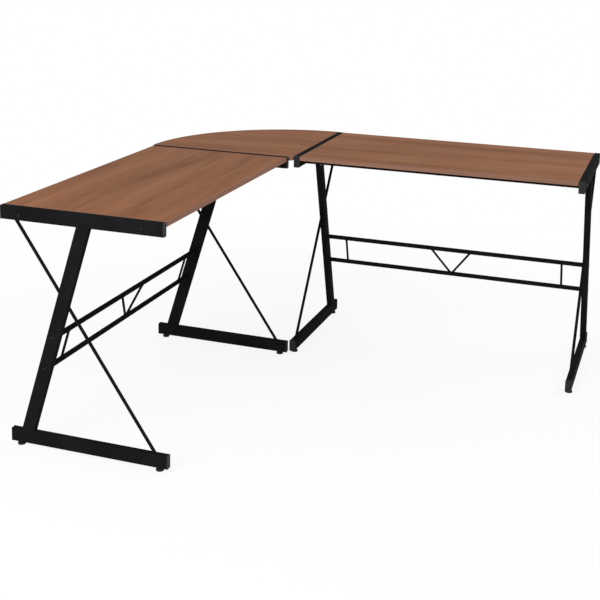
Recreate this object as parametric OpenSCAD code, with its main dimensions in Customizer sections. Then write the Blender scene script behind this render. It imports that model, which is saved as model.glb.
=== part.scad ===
// Corner desk: two straight wings and a quarter-round corner board on four welded steel frames.
// A wing is drawn once, in its own directions: X along the wing from the inner corner, where the
// front lines of the two wings cross, Y from front to back, and Z up. The left wing is its mirror
// image. The finished desk stands on Z = 0 with the middle of its outline at the origin.

/* [Desk] */
// Height of the desk top above the floor
desk_height = 730; // [600:5:900]
// Length of each wing's board
wing_length = 960; // [700:10:1300]
// Depth of each wing's board, from front edge to back edge
board_depth = 520; // [430:5:700]
// Thickness of the three boards
board_t = 15; // [14:1:30]
// Gap between a board's edge and the tube beside it
board_gap = 1.2; // [1:0.1:3]
// Distance of the wings' front edges behind the inner corner
front_setback = 10; // [8:1:30]
// Distance of the inner frames from the inner corner
frame_setback = 4; // [3:1:20]
// Distance by which the corner board's round edge passes the wings' back edges
corner_overhang = 8; // [0:1:40]
// Rounding of the corner board's inner corner
corner_round = 15; // [5:1:40]

/* [Frames] */
// Width of the frames' tube
tube_w = 20; // [16:1:40]
// Height of the frames' tube
tube_h = 40; // [30:1:60]
// Wall of the frames' tube
tube_wall = 1.5; // [1:0.1:2.5]
// Outer corner rounding of every square-cornered tube
tube_round = 2; // [1.5:0.1:4]
// Height of the bottom rails' underside above the floor
ground_gap = 10; // [8:1:20]
// Distance by which the bottom rails pass the front ends of the top rails
bottom_rail_forward = 10; // [0:1:12]
// Distance by which the bottom rails stay short of the back ends of the top rails
bottom_rail_short = 18; // [0:1:60]
// Front end of the top rail to the middle of the leg's top end
leg_top_inset = 252; // [100:1:300]
// Back end of the bottom rail to the middle of the leg's bottom end
leg_bottom_inset = 56; // [40:1:150]
// Diameter of the rod that crosses the leg
rod_d = 10; // [6:1:16]
// Back end of the top rail to the rod's top end
rod_top_inset = 48; // [20:1:150]
// Front end of the bottom rail to the rod's bottom end
rod_bottom_inset = 43; // [20:1:150]

/* [End caps] */
// Thickness of the end caps' flange
cap_flange_t = 2; // [1:0.1:4]
// Distance by which the flange stands out past the tube
cap_lip = 0.8; // [0:0.1:1]
// Length of the cap's plug inside the tube
cap_plug_length = 12; // [6:1:14]
// Wall of the cap's hollow plug
cap_plug_wall = 1.6; // [1:0.1:3]

/* [Stretchers] */
// Diameter of the two round tubes between a wing's legs
stretcher_d = 16; // [14:1:25]
// Wall of the round tubes
stretcher_wall = 1.2; // [0.8:0.1:2]
// Height of the upper tube's centre
stretcher_upper_z = 350; // [300:5:450]
// Height of the lower tube's centre
stretcher_lower_z = 250; // [120:5:260]
// Diameter of the short rods between the two tubes
truss_rod_d = 8; // [4:1:10]
// Distance of the end rods from the legs
truss_end_inset = 75; // [30:1:200]
// Half of the spread of the V rods at the upper tube
truss_v_half = 76; // [30:1:200]

/* [Board supports] */
// Side of the square bars under the wings' boards
bar_side = 20; // [16:1:24]
// Wall of the square bars
bar_wall = 1.5; // [1:0.1:2.5]
// Front end of the top rail to the middle of the front bar
bar_front_inset = 67; // [40:1:150]
// Back end of the top rail to the middle of the back bar
bar_back_inset = 61; // [40:1:150]
// Length of an angle bracket's arms along its rail
bracket_width = 30; // [20:1:50]
// Reach of an angle bracket under the corner board
bracket_reach = 30; // [24:1:50]
// Height of an angle bracket's upright arm
bracket_drop = 22; // [16:1:24]
// Thickness of an angle bracket
bracket_t = 2; // [1.5:0.1:3]

/* [Fasteners] */
// Diameter of the machine bolts and screws
bolt_d = 6; // [5:1:8]
// Diameter of the bolt heads
bolt_head_d = 11; // [10:0.5:14]
// Height of the bolt heads
bolt_head_h = 3; // [2:0.1:5]
// Hexagon key size of the bolt heads
bolt_key = 4; // [3:0.5:5]
// Length of a bolt's thread inside its plug
bolt_grip = 14; // [8:1:18]
// Length of the threaded plugs in the bars and round tubes
plug_length = 20; // [18:1:40]
// Diameter of the wood screws
wood_screw_d = 4; // [3:0.5:5]
// Diameter of the wood screws' heads
wood_screw_head_d = 8; // [7:0.5:10]
// Height of the wood screws' heads
wood_screw_head_h = 2.4; // [1.5:0.1:3.5]
// Depth of the wood screws' thread in a board
wood_screw_grip = 11; // [8:1:12]
// Distance of the outer wood screws from the ends of a bar
wood_screw_inset = 60; // [40:1:200]
// Radial gap round a plug, shank or stud in its hole
fit_gap = 0.05; // [0.02:0.01:0.1]

/* [Levelling feet] */
// Distance of the feet from the ends of the bottom rails
foot_inset = 28; // [24:1:60]
// Diameter of a foot's pad
pad_d = 24; // [18:1:40]
// Height of the pad's disc
pad_disc_h = 6; // [4:0.5:7]
// Rounding of the pad's edges
pad_round = 1; // [0.5:0.1:1.5]
// Width across the flats of the pad's hexagon
pad_hex = 13; // [10:0.5:16]
// Thickness of the pad under the stud
pad_floor = 2; // [1:0.5:3]
// Diameter of the stud's thread
stud_d = 8; // [6:1:10]
// Free height above the stud inside the bottom rail
stud_headroom = 4.5; // [1:0.5:15]
// Diameter of the threaded insert's body
insert_d = 11; // [9:0.5:13]
// Diameter of the insert's flange
insert_flange_d = 16; // [14:0.5:18]
// Thickness of the insert's flange
insert_flange_t = 1; // [0.5:0.1:1.5]
// Length of the insert's body above the rail's underside
insert_length = 14; // [8:1:20]

/* [Hidden] */
$fn = 64;

// Smallest rounding inside a tube's corners
least_round = 0.3;
// Distance by which every cut passes the faces that it goes through
overcut = 1;

// Heights
board_z = desk_height - board_t;
top_rail_z = desk_height - tube_h;
bottom_rail_z = ground_gap;
leg_top_z = top_rail_z;
leg_bottom_z = bottom_rail_z + tube_h;
stud_length = leg_bottom_z - tube_wall - stud_headroom - pad_floor;
bar_z = board_z - bar_side / 2;

// Distances back from the inner corner
rail_front = front_setback;
rail_back = front_setback + board_depth;
bottom_front = rail_front - bottom_rail_forward;
bottom_back = rail_back - bottom_rail_short;
leg_top_y = rail_front + leg_top_inset;
leg_bottom_y = bottom_back - leg_bottom_inset;
rod_top_y = rail_back - rod_top_inset;
rod_bottom_y = bottom_front + rod_bottom_inset;
bar_ys = [rail_front + bar_front_inset, rail_back - bar_back_inset];
foot_ys = [bottom_front + foot_inset, bottom_back - foot_inset];

// Distances along a wing from the inner corner
inner_x = frame_setback;
span_start = inner_x + tube_w;
board_start = span_start + board_gap;
board_end = board_start + wing_length;
span_end = board_end + board_gap;
outer_x = span_end;
span_middle = (span_start + span_end) / 2;
corner_edge = frame_setback - board_gap;

// The leg leans back towards the floor
leg_lean = atan2(leg_bottom_y - leg_top_y, leg_top_z - leg_bottom_z);
function leg_y(z) = leg_top_y + (leg_top_z - z) * tan(leg_lean);
stretcher_zs = [stretcher_upper_z, stretcher_lower_z];

// The outline's middle, which becomes the origin
corner_radius = rail_back + corner_overhang;
outline_end = outer_x + tube_w + cap_lip;
middle = (outline_end - corner_radius) / 2;

// Each frame: its name, its wing and where its tubes begin along the wing
FRAMES = [
    ["left_outer", "left", outer_x],
    ["left_inner", "left", inner_x],
    ["right_inner", "right", inner_x],
    ["right_outer", "right", outer_x]
];
ENDS = ["front", "back"];
SIDES = ["left", "right"];
LEVELS = ["upper", "lower"];

board_colour = "#8f6a4c";
steel_colour = "#1f1f21";
cap_colour = "#2c2c2e";
zinc_colour = "#b9bcbf";

// ---- Placing and basic shapes ----

// Children drawn in a wing's directions, put in their place on the desk
module in_wing(side) {
    translate([-middle, middle, 0])
        mirror(side == "left" ? [1, 1, 0] : [0, 0, 0])
            children();
}

// Children repeated in both wings
module in_both_wings() {
    for (side = SIDES)
        in_wing(side)
            children();
}

// A rectangle with round corners, centred on the origin
module round_rectangle(w, h, r) {
    square([w, h - 2 * r], center = true);
    square([w - 2 * r, h], center = true);
    for (x = [-1, 1])
        for (y = [-1, 1])
            translate([x * (w / 2 - r), y * (h / 2 - r)])
                circle(r);
}

// The hollow inside a tube, made smaller all round by gap
module tube_inside(w, h, wall, gap) {
    inset = wall + gap;
    round_rectangle(w - 2 * inset, h - 2 * inset, max(tube_round - wall, least_round));
}

// The section of a hollow tube, centred on the origin
module tube_section(w, h, wall) {
    difference() {
        round_rectangle(w, h, tube_round);
        tube_inside(w, h, wall, 0);
    }
}

// A round bar from point a to point b, with its ends carried on by extra
module bar_between(a, b, d, extra) {
    run = b - a;
    translate(a)
        rotate([0, acos(run.z / norm(run)), atan2(run.y, run.x)])
            translate([0, 0, -extra])
                cylinder(d = d, h = norm(run) + 2 * extra);
}

// A round length along X, from x to x + length
module along_x(x, y, z, d, length) {
    translate([x, y, z])
        rotate([0, 90, 0])
            cylinder(d = d, h = length);
}

// A bolt's hole along X through what lies from x to x + length
module bolt_hole(x, y, z, length) {
    along_x(x - overcut, y, z, bolt_d + 2 * fit_gap, length + 2 * overcut);
}

// ---- Boards ----

// Places of the wood screws along a bar
screw_xs = [span_start + wood_screw_inset, span_middle, span_end - wood_screw_inset];

// Places of the two screws across a bracket, from its middle
bracket_screw_ys = [-bracket_width / 4, bracket_width / 4];
bracket_screw_x = inner_x - bracket_reach * 2 / 3;

// The hole of a wood screw that starts at height z
module pilot_hole(x, y, z, depth) {
    translate([x, y, z])
        cylinder(d = wood_screw_d + 2 * fit_gap, h = depth);
}

module wing_board(side) {
    color(board_colour)
        in_wing(side)
            difference() {
                translate([board_start, rail_front, board_z])
                    cube([wing_length, board_depth, board_t]);
                for (y = bar_ys)
                    for (x = screw_xs)
                        pilot_hole(x, y, board_z - overcut, wood_screw_grip + 2 * overcut);
            }
}

// The quarter disc in the desk's own X and Y, before it is placed
module corner_outline() {
    reach = corner_edge + corner_radius;
    intersection() {
        circle(corner_radius, $fn = 180);
        union() {
            translate([-corner_radius, corner_round - corner_edge])
                square([reach, reach]);
            translate([-corner_radius, -corner_edge])
                square([reach - corner_round, reach]);
            translate([corner_edge - corner_round, corner_round - corner_edge])
                circle(corner_round);
        }
    }
}

module corner_board() {
    color(board_colour)
        difference() {
            translate([-middle, middle, board_z])
                linear_extrude(board_t)
                    corner_outline();
            in_both_wings()
                for (y = bar_ys)
                    for (offset_y = bracket_screw_ys)
                        pilot_hole(bracket_screw_x, y + offset_y, board_z - overcut,
                            wood_screw_grip + 2 * overcut);
        }
}

// ---- Frames ----

// A straight tube that runs along Y
module rail_tube(x, y_start, y_end, z) {
    translate([x + tube_w / 2, y_start, z + tube_h / 2])
        rotate([-90, 0, 0])
            linear_extrude(y_end - y_start)
                tube_section(tube_w, tube_h, tube_wall);
}

// Top rail, bored across for the bolts of the bars under the board
module top_rail(frame) {
    color(steel_colour)
        in_wing(frame[1])
            difference() {
                rail_tube(frame[2], rail_front + cap_flange_t, rail_back - cap_flange_t, top_rail_z);
                for (y = bar_ys)
                    bolt_hole(frame[2], y, bar_z, tube_w);
            }
}

// Bottom rail, bored from below for the threaded inserts
module bottom_rail(frame) {
    color(steel_colour)
        in_wing(frame[1])
            difference() {
                rail_tube(frame[2], bottom_front + cap_flange_t, bottom_back - cap_flange_t,
                    bottom_rail_z);
                for (y = foot_ys)
                    translate([frame[2] + tube_w / 2, y, bottom_rail_z - overcut])
                        cylinder(d = insert_d + 2 * fit_gap, h = tube_wall + 2 * overcut);
            }
}

// Everything between the bottom rail's top face and the top rail's underside
module between_rails() {
    reach = desk_height + board_depth;
    translate([-reach, -reach, leg_bottom_z])
        cube([outline_end + 2 * reach, 3 * reach, leg_top_z - leg_bottom_z]);
}

// The leg's length, long enough to be cut off at both rails
module leg_length(x) {
    length = desk_height / cos(leg_lean) + 2 * tube_h;
    translate([x + tube_w / 2, leg_y(desk_height / 2), desk_height / 2])
        rotate([leg_lean, 0, 0])
            translate([0, 0, -length / 2])
                linear_extrude(length)
                    children();
}

// Leaning leg, bored across for the stretchers' bolts
module leg(frame) {
    color(steel_colour)
        in_wing(frame[1])
            difference() {
                intersection() {
                    leg_length(frame[2])
                        tube_section(tube_w, tube_h, tube_wall);
                    between_rails();
                }
                for (z = stretcher_zs)
                    bolt_hole(frame[2], leg_y(z), z, tube_w);
            }
}

// Thin rod that crosses the leg, welded to it in two lengths
module rod(frame) {
    x = frame[2] + tube_w / 2;
    color(steel_colour)
        in_wing(frame[1])
            difference() {
                intersection() {
                    bar_between([x, rod_bottom_y, leg_bottom_z], [x, rod_top_y, leg_top_z],
                        rod_d, 2 * rod_d);
                    between_rails();
                }
                leg_length(frame[2])
                    round_rectangle(tube_w, tube_h, tube_round);
            }
}

// One end cap, its flange's outer face at the origin and its plug pointing along +Y
module end_cap() {
    rotate([-90, 0, 0]) {
        linear_extrude(cap_flange_t)
            round_rectangle(tube_w + 2 * cap_lip, tube_h + 2 * cap_lip, tube_round + cap_lip);
        linear_extrude(cap_flange_t + cap_plug_length)
            difference() {
                tube_inside(tube_w, tube_h, tube_wall, fit_gap);
                tube_inside(tube_w, tube_h, tube_wall, cap_plug_wall);
            }
    }
}

// The four end caps of one frame
module end_caps(frame) {
    rows = [[rail_front, rail_back, top_rail_z], [bottom_front, bottom_back, bottom_rail_z]];
    color(cap_colour)
        in_wing(frame[1])
            for (row = rows) {
                translate([frame[2] + tube_w / 2, row[0], row[2] + tube_h / 2])
                    end_cap();
                translate([frame[2] + tube_w / 2, row[1], row[2] + tube_h / 2])
                    rotate([0, 0, 180])
                        end_cap();
            }
}

// ---- Levelling feet ----

// Place of one foot on the floor, in its wing's directions
module at_foot(frame, end) {
    in_wing(frame[1])
        translate([frame[2] + tube_w / 2, foot_ys[end == "front" ? 0 : 1], 0])
            children();
}

// Pad: a round disc with a hexagon on top, blind bored for the stud
module foot_pad(frame, end) {
    r = pad_d / 2;
    color(cap_colour)
        at_foot(frame, end)
            difference() {
                union() {
                    rotate_extrude()
                        polygon([[0, 0], [r - pad_round, 0], [r, pad_round],
                            [r, pad_disc_h - pad_round], [r - pad_round, pad_disc_h], [0, pad_disc_h]]);
                    cylinder(d = pad_hex / cos(30), h = ground_gap - insert_flange_t, $fn = 6);
                }
                translate([0, 0, pad_floor])
                    cylinder(d = stud_d + 2 * fit_gap, h = ground_gap);
            }
}

// Stud, with a small chamfer at its top
module foot_stud(frame, end) {
    r = stud_d / 2;
    chamfer = r / 4;
    color(zinc_colour)
        at_foot(frame, end)
            translate([0, 0, pad_floor])
                rotate_extrude()
                    polygon([[0, 0], [r, 0], [r, stud_length - chamfer],
                        [r - chamfer, stud_length], [0, stud_length]]);
}

// Threaded inserts in the bottom rails, one over each foot
module foot_inserts() {
    color(zinc_colour)
        for (frame = FRAMES)
            for (end = ENDS)
                at_foot(frame, end)
                    translate([0, 0, ground_gap - insert_flange_t])
                        difference() {
                            union() {
                                cylinder(d = insert_flange_d, h = insert_flange_t);
                                cylinder(d = insert_d, h = insert_flange_t + insert_length);
                            }
                            translate([0, 0, -overcut])
                                cylinder(d = stud_d + 2 * fit_gap,
                                    h = insert_flange_t + insert_length + 2 * overcut);
                        }
}

// ---- Stretchers ----

// Round tube between the two legs of a wing
module stretcher_tube(side, level) {
    z = stretcher_zs[level == "upper" ? 0 : 1];
    length = span_end - span_start;
    color(steel_colour)
        in_wing(side)
            difference() {
                along_x(span_start, leg_y(z), z, stretcher_d, length);
                along_x(span_start - overcut, leg_y(z), z, stretcher_d - 2 * stretcher_wall,
                    length + 2 * overcut);
            }
}

// A rod from the lower tube at x_low to the upper tube at x_high, cut to sit on both tubes
module truss_rod(x_low, x_high) {
    difference() {
        bar_between([x_low, leg_y(stretcher_lower_z), stretcher_lower_z],
            [x_high, leg_y(stretcher_upper_z), stretcher_upper_z], truss_rod_d, 0);
        for (z = stretcher_zs)
            along_x(span_start, leg_y(z), z, stretcher_d, span_end - span_start);
    }
}

// Half of the wing's length, ending or starting at its middle
module wing_half(x) {
    translate([x, 0, 0])
        cube([span_end - span_middle, rail_back, desk_height]);
}

// The end rods and the two rods of the V, which meet at the wing's middle
module stretcher_rods(side) {
    color(steel_colour)
        in_wing(side) {
            for (x = [span_start + truss_end_inset, span_end - truss_end_inset])
                truss_rod(x, x);
            intersection() {
                truss_rod(span_middle, span_middle - truss_v_half);
                wing_half(span_start);
            }
            intersection() {
                truss_rod(span_middle, span_middle + truss_v_half);
                wing_half(span_middle);
            }
        }
}

// Threaded plugs in both ends of the round tubes
module stretcher_plugs() {
    color(zinc_colour)
        in_both_wings()
            for (z = stretcher_zs)
                for (x = [span_start, span_end - plug_length])
                    difference() {
                        along_x(x, leg_y(z), z, stretcher_d - 2 * stretcher_wall - 2 * fit_gap,
                            plug_length);
                        bolt_hole(x, leg_y(z), z, plug_length);
                    }
}

// ---- Board supports ----

// Children extruded along X from x to x + length, centred on a bar
module along_bar(x, y, length) {
    translate([x, y, bar_z])
        rotate([0, 90, 0])
            linear_extrude(length)
                children();
}

// Square bar under a wing's board, bored from below for the wood screws
module support_bar(side, end) {
    y = bar_ys[end == "front" ? 0 : 1];
    color(steel_colour)
        in_wing(side)
            difference() {
                along_bar(span_start, y, span_end - span_start)
                    tube_section(bar_side, bar_side, bar_wall);
                for (x = screw_xs)
                    pilot_hole(x, y, board_z - bar_side - overcut, bar_side + 2 * overcut);
            }
}

// Threaded plugs in both ends of the bars
module bar_plugs() {
    color(zinc_colour)
        in_both_wings()
            for (y = bar_ys)
                for (x = [span_start, span_end - plug_length])
                    difference() {
                        along_bar(x, y, plug_length)
                            tube_inside(bar_side, bar_side, bar_wall, fit_gap);
                        bolt_hole(x, y, bar_z, plug_length);
                    }
}

// Angle brackets that carry the corner board on the inner frames' top rails
module corner_brackets() {
    color(steel_colour)
        in_both_wings()
            for (y = bar_ys)
                difference() {
                    translate([0, y - bracket_width / 2, 0]) {
                        translate([inner_x - bracket_reach, 0, board_z - bracket_t])
                            cube([bracket_reach, bracket_width, bracket_t]);
                        translate([inner_x - bracket_t, 0, board_z - bracket_drop])
                            cube([bracket_t, bracket_width, bracket_drop]);
                    }
                    bolt_hole(inner_x - bracket_t, y, bar_z, bracket_t);
                    for (offset_y = bracket_screw_ys)
                        pilot_hole(bracket_screw_x, y + offset_y, board_z - bracket_t - overcut,
                            bracket_t + 2 * overcut);
                }
}

// ---- Fasteners ----

// Button-head bolt along +X, the underside of its head at the origin
module button_bolt(length) {
    r = bolt_head_d / 2;
    rotate([0, 90, 0])
        difference() {
            union() {
                cylinder(d = bolt_d, h = length);
                rotate_extrude()
                    intersection() {
                        translate([0, (r * r - bolt_head_h * bolt_head_h) / (2 * bolt_head_h)])
                            circle((r * r + bolt_head_h * bolt_head_h) / (2 * bolt_head_h));
                        translate([0, -bolt_head_h])
                            square([r, bolt_head_h]);
                    }
            }
            translate([0, 0, -bolt_head_h - overcut])
                cylinder(d = bolt_key / cos(30), h = overcut + bolt_head_h * 2 / 3, $fn = 6);
        }
}

// A bolt through an inner tube, pointing along the wing, with its head at x
module inner_bolt(x, y, z) {
    translate([x, y, z])
        button_bolt(span_start + bolt_grip - x);
}

// A bolt through an outer tube, pointing back towards the inner corner
module outer_bolt(y, z) {
    translate([outer_x + tube_w, y, z])
        rotate([0, 0, 180])
            button_bolt(tube_w + bolt_grip);
}

// Bolts through the top rails into the bars
module rail_bolts() {
    color(steel_colour)
        in_both_wings()
            for (y = bar_ys) {
                inner_bolt(inner_x - bracket_t, y, bar_z);
                outer_bolt(y, bar_z);
            }
}

// Bolts through the legs into the round tubes
module leg_bolts() {
    color(steel_colour)
        in_both_wings()
            for (z = stretcher_zs) {
                inner_bolt(inner_x, leg_y(z), z);
                outer_bolt(leg_y(z), z);
            }
}

// Wood screw along +Z, the top of its head at the origin, with a cross recess
module wood_screw(length) {
    r = wood_screw_head_d / 2;
    slot_w = wood_screw_head_d / 8;
    slot_l = wood_screw_head_d / 2;
    difference() {
        union() {
            cylinder(d = wood_screw_d, h = length);
            rotate_extrude()
                polygon([[0, 0], [r, 0], [r, -wood_screw_head_h / 3],
                    [r * 2 / 3, -wood_screw_head_h], [0, -wood_screw_head_h]]);
        }
        for (size = [[slot_l, slot_w], [slot_w, slot_l]])
            translate([-size[0] / 2, -size[1] / 2, -wood_screw_head_h - overcut])
                cube([size[0], size[1], overcut + wood_screw_head_h / 2]);
    }
}

// Wood screws from below through the bars into the wings' boards
module bar_screws() {
    color(zinc_colour)
        in_both_wings()
            for (y = bar_ys)
                for (x = screw_xs)
                    translate([x, y, board_z - bar_side])
                        wood_screw(bar_side + wood_screw_grip);
}

// Wood screws from below through the brackets into the corner board
module bracket_screws() {
    color(zinc_colour)
        in_both_wings()
            for (y = bar_ys)
                for (offset_y = bracket_screw_ys)
                    translate([bracket_screw_x, y + offset_y, board_z - bracket_t])
                        wood_screw(bracket_t + wood_screw_grip);
}

// ---- Nodes ----

for (side = SIDES) {
    wing_board(side);
    stretcher_rods(side);
    for (end = ENDS)
        support_bar(side, end);
    for (level = LEVELS)
        stretcher_tube(side, level);
}
for (frame = FRAMES) {
    top_rail(frame);
    bottom_rail(frame);
    leg(frame);
    rod(frame);
    end_caps(frame);
    for (end = ENDS) {
        foot_pad(frame, end);
        foot_stud(frame, end);
    }
}
corner_board();  // board_corner
foot_inserts();
bar_plugs();
stretcher_plugs();
corner_brackets();
rail_bolts();
leg_bolts();
bar_screws();
bracket_screws();
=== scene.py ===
"""Looks of a corner desk: laminate boards, welded and powder-coated frames, fasteners, feet and a studio.

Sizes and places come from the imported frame. A piece is built in the right wing's place, and the left
wing's copy is its mirror image. Lengths are in metres."""

import math

import bmesh
import bpy
from mathutils import Matrix, Vector


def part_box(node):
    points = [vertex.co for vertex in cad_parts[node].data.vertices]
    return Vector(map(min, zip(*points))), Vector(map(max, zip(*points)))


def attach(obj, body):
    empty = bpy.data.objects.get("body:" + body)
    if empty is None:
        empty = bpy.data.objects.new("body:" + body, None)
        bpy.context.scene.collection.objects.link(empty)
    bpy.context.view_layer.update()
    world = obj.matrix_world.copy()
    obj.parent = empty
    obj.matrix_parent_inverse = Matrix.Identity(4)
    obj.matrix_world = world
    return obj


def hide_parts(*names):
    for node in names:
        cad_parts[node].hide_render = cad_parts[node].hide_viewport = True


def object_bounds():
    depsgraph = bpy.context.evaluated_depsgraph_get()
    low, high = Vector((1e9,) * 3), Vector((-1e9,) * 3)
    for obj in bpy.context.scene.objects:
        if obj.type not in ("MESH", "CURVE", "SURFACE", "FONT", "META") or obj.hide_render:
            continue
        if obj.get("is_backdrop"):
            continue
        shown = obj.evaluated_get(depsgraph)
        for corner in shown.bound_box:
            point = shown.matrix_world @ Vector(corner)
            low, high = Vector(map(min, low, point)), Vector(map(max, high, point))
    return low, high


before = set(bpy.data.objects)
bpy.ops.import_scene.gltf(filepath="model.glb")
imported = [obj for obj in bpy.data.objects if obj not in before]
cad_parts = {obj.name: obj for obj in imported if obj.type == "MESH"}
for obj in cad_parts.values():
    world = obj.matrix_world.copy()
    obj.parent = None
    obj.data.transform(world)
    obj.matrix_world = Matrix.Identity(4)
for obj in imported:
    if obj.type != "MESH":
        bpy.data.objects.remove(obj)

bl_info = {
    "name": "Corner desk",
    "version": (1, 0, 0),
    "blender": (4, 5, 0),
    "location": "View3D > Sidebar > Desk",
    "description": "Builds the visible pieces of a corner desk round its packed frame",
    "category": "Add Mesh",
}

MM = 0.001

SIDES = ("left", "right")
ENDS = ("front", "back")
FRAMES = ("left_outer", "left_inner", "right_inner", "right_outer")

# Turns what stands in the right wing's place into its mirror image in the left wing
LEFT_WING = Matrix(((0, -1, 0, 0), (-1, 0, 0, 0), (0, 0, 1, 0), (0, 0, 0, 1)))

# Edges that turn by less than this are shaded smooth
SMOOTH_ANGLE = math.radians(32)
# Lengths below this count as nothing
TINY = 1e-6
# A face or edge whose direction has at least this share along an axis follows that axis
ALONG = 0.999

# Where the laminate and the edging stand in a board's material slots
LAMINATE, EDGING = 0, 1
# Where each board is cut from the endless grain
GRAIN_START = {"left": (0.37, 2.1, 0.4), "right": (1.9, 0.63, 1.2), "corner": (4.3, 1.7, 2.2)}

# Depth of a weld bead's ripples, and their length on straight and on round beads, as shares of its size
RIPPLE_DEPTH = 0.14
STRAIGHT_RIPPLE, ROUND_RIPPLE = 1.1, 1.5
# The steps that draw each ripple
RIPPLE_STEPS = 6
# Size of a straight bead's ends as a share of its middle's, and how steeply it grows from them
BEAD_END = 0.35
BEAD_GROWTH = 6

# Depth of an end cap's hollow plug as a share of the plug's length
PLUG_HOLLOW = 0.9

# Depth of a thread, where its crest starts and ends, and half its flat root, as shares of its pitch
THREAD_DEPTH = 0.6
CREST_START, CREST_END = 0.42, 0.58
HALF_ROOT = 0.08
# A bolt head's straight rim and small roundings, as shares of its height
HEAD_RIM = 0.14
HEAD_ROUNDING = 0.05
# Half width of a bolt's socket along its walls, at its chamfer and where the dome is cut off, as shares
# of the key's
SOCKET_WALL, SOCKET_CHAMFER, SOCKET_MOUTH = 0.98, 1.04, 1.3
# A wood screw's cross recess and pan head, from the middle outwards, as shares of its radius and height
RECESS = ((0.2, 0.35), (0.52, 0.98))
PAN_HEAD = ((0.6, 1), (0.78, 0.95), (0.91, 0.8), (0.98, 0.52), (1, 0.25), (0.97, 0))
# How far the inner corners of the cross recess reach, as a share of its arms
CROSS_WAIST = 0.32
# Depth of a foot's grip flutes, as a share of its radius
FLUTE_DEPTH = 0.05

# Materials that several operators share, by the function that makes them
SHARED = {}


# ---- Settings ----

def paint(red, green, blue):
    """The linear colour of screen values from 0 to 255."""
    shares = [value / 255 for value in (red, green, blue)]
    return tuple(s / 12.92 if s <= 0.04045 else ((s + 0.055) / 1.055) ** 2.4 for s in shares)


def length_setting(name, description, default):
    """A length that a user may change."""
    return bpy.props.FloatProperty(name=name, description=description, default=default, unit="LENGTH",
                                   precision=5)


def colour_setting(name, description, default):
    """A colour that a user may change."""
    return bpy.props.FloatVectorProperty(name=name, description=description, default=default,
                                         subtype="COLOR", size=3, min=0, max=1)


def place_setting(name, description, default):
    """A place in the scene that a user may change."""
    return bpy.props.FloatVectorProperty(name=name, description=description, default=default,
                                         subtype="TRANSLATION")


class BoardSettings(bpy.types.PropertyGroup):
    """Sizes and colours of the laminate boards."""

    edge_round: length_setting("Edge rounding", "Rounding of the boards' edging", 1.2 * MM)
    seam: length_setting("Seam", "Width of the groove between laminate and edging", 0.25 * MM)
    corner_round: length_setting("Corner rounding", "Rounding of the corner board's inner corner", 15 * MM)
    dark: colour_setting("Dark grain", "Colour of the laminate's darkest streaks", paint(112, 70, 45))
    middle: colour_setting("Main grain", "Main colour of the laminate", paint(137, 90, 61))
    light: colour_setting("Light grain", "Colour of the laminate's lightest bands", paint(153, 104, 73))
    # The edging's default colour is lighter than the laminate's: on top of the edging's own tone, this is
    # painted light for the lamp that falls on the boards' front edges
    edging: colour_setting("Edging", "Colour of the boards' edging", paint(148, 109, 90))


class SteelSettings(bpy.types.PropertyGroup):
    """Sizes and colours of the powder-coated steel."""

    coat: colour_setting("Powder coat", "Colour of the frames' powder coat", paint(19, 19, 20))
    weld: length_setting("Weld size", "Half thickness of the weld beads at the rails", 2.4 * MM)
    fine_weld: length_setting("Fine weld size", "Half thickness of the weld beads at the rods", 1.3 * MM)
    bend: length_setting("Bracket bend", "Outer rounding of the angle brackets' bend", 3 * MM)
    bracket_corner: length_setting("Bracket corners", "Rounding of the angle brackets' corners", 5 * MM)


class PlasticSettings(bpy.types.PropertyGroup):
    """Sizes and colours of the end caps and feet."""

    cap: colour_setting("Caps", "Colour of the end caps", paint(32, 33, 34))
    foot: colour_setting("Feet", "Colour of the feet's pads", paint(26, 26, 27))
    cap_corner: length_setting("Cap corners", "Rounding of the end caps' four corners", 2.8 * MM)
    cap_round: length_setting("Cap rounding", "Rounding of the end caps' outer rim", 1.5 * MM)
    plug_gap: length_setting("Plug gap", "From the tube's outside to the end caps' plugs", 1.55 * MM)
    plug_corner: length_setting("Plug corners", "Rounding of the plugs' four corners", 0.5 * MM)
    plug_wall: length_setting("Plug wall", "Wall of the end caps' hollow plugs", 1.6 * MM)
    flutes: bpy.props.IntProperty(name="Flutes", description="Grip flutes round a foot", default=24, min=6)
    disc: length_setting("Foot disc", "Height of a foot's round disc", 6 * MM)
    hexagon: length_setting("Foot hexagon", "Width across the flats of a foot's hexagon", 13 * MM)


class FastenerSettings(bpy.types.PropertyGroup):
    """Sizes and colours of the bolts, screws and threaded inserts."""

    bolt: length_setting("Bolt size", "Diameter of the bolts' thread", 6 * MM)
    key: length_setting("Key size", "Width across the flats of the bolts' sockets", 4 * MM)
    screw: length_setting("Screw size", "Diameter of the wood screws' thread", 4 * MM)
    fine_pitch: length_setting("Machine thread", "Rise of the bolts' and studs' thread in a turn", 1.25 * MM)
    coarse_pitch: length_setting("Wood thread", "Rise of the wood screws' thread in a turn", 1.8 * MM)
    oxide: colour_setting("Black oxide", "Colour of the bolts", paint(26, 26, 28))
    zinc: colour_setting("Zinc", "Colour of the zinc-plated steel", paint(186, 190, 194))


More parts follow.
